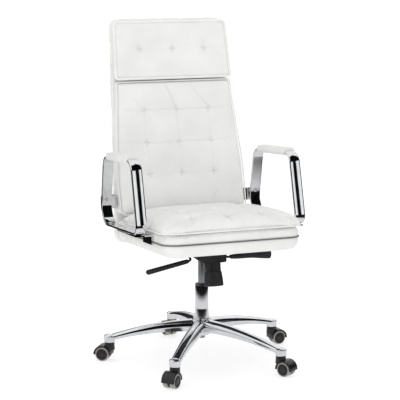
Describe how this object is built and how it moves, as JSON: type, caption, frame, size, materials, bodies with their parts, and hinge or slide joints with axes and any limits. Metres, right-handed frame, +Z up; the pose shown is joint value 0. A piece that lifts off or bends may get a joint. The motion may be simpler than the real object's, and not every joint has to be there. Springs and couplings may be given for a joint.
{
  "type": "swivel office chair",
  "caption": "High-backed swivel chair with a star base on casters, gas column, tilting upholstered seat, headrest and flat-bar loop arms.",
  "frame": {"origin": "on the floor, under the middle of the chair's box", "axes": "+Z up, the seat faces -Y, +X is to the right of someone who faces the front of the chair; the column's axis crosses X = 0 at Y = -0.034 m"},
  "size_m": [0.7197, 0.7269, 1.1567],
  "materials": {
    "chrome": "polished",
    "steel": "satin",
    "black_steel": "satin",
    "black_plastic": "satin",
    "wheel_plastic": "satin",
    "white_leather": "satin",
    "plywood": "matte"
  },
  "bodies": {
    "base": {"star_base": "chrome", "column_outer_tube": "chrome", "column_guide_bush": "black_plastic", "column_thrust_bearing": "steel", "caster_front_right_stem": "steel", "caster_right_stem": "steel", "caster_rear_stem": "steel", "caster_left_stem": "steel", "caster_front_left_stem": "steel"},
    "column_core": {"piston_rod": "steel", "column_retaining_clip": "steel"},
    "lift": {"pressure_tube": "chrome", "rod_seal": "black_plastic", "mechanism_housing": "black_steel", "tilt_pivot_pin": "steel", "spring_cup": "black_steel", "tension_spring": "steel"},
    "bolt": {"tension_bolt": "steel"},
    "spring_seat": {"spring_plate": "steel"},
    "knob": {"tension_knob": "black_plastic"},
    "release": {"release_pin": "steel"},
    "height_lever": {"height_lever_rod": "black_steel", "height_lever_paddle": "black_plastic"},
    "lock_lever": {"lock_lever_rod": "black_steel", "lock_lever_paddle": "black_plastic"},
    "seat": {"seat_plate": "black_steel", "seat_board": "plywood", "seat_base_pad": "white_leather", "seat_cushion": "white_leather", "back_shell": "white_leather", "back_cushion": "white_leather", "headrest_cushion": "white_leather", "arm_loop_left": "chrome", "arm_loop_right": "chrome", "arm_pad_left": "white_leather", "arm_pad_right": "white_leather", "arm_bracket_left": "black_steel", "arm_bracket_right": "black_steel", "back_bracket_left": "black_steel", "back_bracket_right": "black_steel"},
    "caster_front_right": {"caster_front_right_hood": "black_plastic", "caster_front_right_axle": "steel"},
    "wheel_front_right_a": {"caster_front_right_wheel_a": "wheel_plastic"},
    "wheel_front_right_b": {"caster_front_right_wheel_b": "wheel_plastic"},
    "caster_right": {"caster_right_hood": "black_plastic", "caster_right_axle": "steel"},
    "wheel_right_a": {"caster_right_wheel_a": "wheel_plastic"},
    "wheel_right_b": {"caster_right_wheel_b": "wheel_plastic"},
    "caster_rear": {"caster_rear_hood": "black_plastic", "caster_rear_axle": "steel"},
    "wheel_rear_a": {"caster_rear_wheel_a": "wheel_plastic"},
    "wheel_rear_b": {"caster_rear_wheel_b": "wheel_plastic"},
    "caster_left": {"caster_left_hood": "black_plastic", "caster_left_axle": "steel"},
    "wheel_left_a": {"caster_left_wheel_a": "wheel_plastic"},
    "wheel_left_b": {"caster_left_wheel_b": "wheel_plastic"},
    "caster_front_left": {"caster_front_left_hood": "black_plastic", "caster_front_left_axle": "steel"},
    "wheel_front_left_a": {"caster_front_left_wheel_a": "wheel_plastic"},
    "wheel_front_left_b": {"caster_front_left_wheel_b": "wheel_plastic"}
  },
  "joints": [
    {"name": "seat_swivel", "type": "hinge", "parent": "base", "child": "column_core", "pos_m": [0, -0.0338, 0.1], "axis": [0, 0, 1], "continuous": true},
    {"name": "seat_height", "type": "slide", "parent": "column_core", "child": "lift", "axis": [0, 0, 1], "range_m": [-0.07, 0.04]},
    {"name": "seat_tilt", "type": "hinge", "parent": "lift", "child": "seat", "pos_m": [0, 0.0022, 0.39], "axis": [-1, 0, 0], "range_deg": [0, 10], "stiffness_Nm_per_rad": 100, "springref_deg": -17.19},
    {"name": "bolt_rise", "type": "slide", "parent": "lift", "child": "bolt", "axis": [0, 0.1908, 0.9816], "range_m": [0, 0.027], "deforming": ["tension_spring"]},
    {"name": "plate_travel", "type": "slide", "parent": "bolt", "child": "spring_seat", "axis": [0, 0.1908, 0.9816], "range_m": [-0.0046, 0.0046]},
    {"name": "knob_turn", "type": "hinge", "parent": "spring_seat", "child": "knob", "pos_m": [0, -0.1388, 0.374], "axis": [0, 0.1908, 0.9816], "range_deg": [-1080, 1080]},
    {"name": "height_lever_lift", "type": "hinge", "parent": "lift", "child": "height_lever", "pos_m": [-0.032, -0.0338, 0.389], "axis": [0, 1, 0], "range_deg": [0, 6], "stiffness_Nm_per_rad": 3, "springref_deg": -11.46},
    {"name": "release_press", "type": "slide", "parent": "lift", "child": "release", "axis": [0, 0, -1], "range_m": [0, 0.0042]},
    {"name": "lock_lever_lift", "type": "hinge", "parent": "lift", "child": "lock_lever", "pos_m": [0.044, -0.0818, 0.389], "axis": [0, -1, 0], "range_deg": [0, 10]},
    {"name": "caster_front_right_swivel", "type": "hinge", "parent": "base", "child": "caster_front_right", "pos_m": [0.18809, -0.29269, 0.06], "axis": [0, 0, 1], "continuous": true},
    {"name": "wheel_front_right_a_roll", "type": "hinge", "parent": "caster_front_right", "child": "wheel_front_right_a", "pos_m": [0.20007, -0.31114, 0.025], "axis": [0.8387, 0.5446, 0], "continuous": true},
    {"name": "wheel_front_right_b_roll", "type": "hinge", "parent": "caster_front_right", "child": "wheel_front_right_b", "pos_m": [0.20007, -0.31114, 0.025], "axis": [0.8387, 0.5446, 0], "continuous": true},
    {"name": "caster_right_swivel", "type": "hinge", "parent": "base", "child": "caster_right", "pos_m": [0.30434, 0.06508, 0.06], "axis": [0, 0, 1], "continuous": true},
    {"name": "wheel_right_a_roll", "type": "hinge", "parent": "caster_right", "child": "wheel_right_a", "pos_m": [0.32624, 0.06719, 0.025], "axis": [-0.0958, 0.9954, 0], "continuous": true},
    {"name": "wheel_right_b_roll", "type": "hinge", "parent": "caster_right", "child": "wheel_right_b", "pos_m": [0.32624, 0.06719, 0.025], "axis": [-0.0958, 0.9954, 0], "continuous": true},
    {"name": "caster_rear_swivel", "type": "hinge", "parent": "base", "child": "caster_rear", "pos_m": [0, 0.2862, 0.06], "axis": [0, 0, 1], "continuous": true},
    {"name": "wheel_rear_a_roll", "type": "hinge", "parent": "caster_rear", "child": "wheel_rear_a", "pos_m": [-0.00382, 0.30786, 0.025], "axis": [-0.9848, -0.1736, 0], "continuous": true},
    {"name": "wheel_rear_b_roll", "type": "hinge", "parent": "caster_rear", "child": "wheel_rear_b", "pos_m": [-0.00382, 0.30786, 0.025], "axis": [-0.9848, -0.1736, 0], "continuous": true},
    {"name": "caster_left_swivel", "type": "hinge", "parent": "base", "child": "caster_left", "pos_m": [-0.30434, 0.06508, 0.06], "axis": [0, 0, 1], "continuous": true},
    {"name": "wheel_left_a_roll", "type": "hinge", "parent": "caster_left", "child": "wheel_left_a", "pos_m": [-0.32247, 0.07754, 0.025], "axis": [-0.5664, -0.8241, 0], "continuous": true},
    {"name": "wheel_left_b_roll", "type": "hinge", "parent": "caster_left", "child": "wheel_left_b", "pos_m": [-0.32247, 0.07754, 0.025], "axis": [-0.5664, -0.8241, 0], "continuous": true},
    {"name": "caster_front_left_swivel", "type": "hinge", "parent": "base", "child": "caster_front_left", "pos_m": [-0.18809, -0.29269, 0.06], "axis": [0, 0, 1], "continuous": true},
    {"name": "wheel_front_left_a_roll", "type": "hinge", "parent": "caster_front_left", "child": "wheel_front_left_a", "pos_m": [-0.20418, -0.30769, 0.025], "axis": [0.682, -0.7314, 0], "continuous": true},
    {"name": "wheel_front_left_b_roll", "type": "hinge", "parent": "caster_front_left", "child": "wheel_front_left_b", "pos_m": [-0.20418, -0.30769, 0.025], "axis": [0.682, -0.7314, 0], "continuous": true}
  ],
  "couplings": [
    {"joint": "bolt_rise", "follows": "seat_tilt", "m_per_rad": 0.1433},
    {"joint": "plate_travel", "follows": "knob_turn", "m_per_rad": 0.00023873},
    {"joint": "release_press", "follows": "height_lever_lift", "m_per_rad": 0.036}
  ]
}
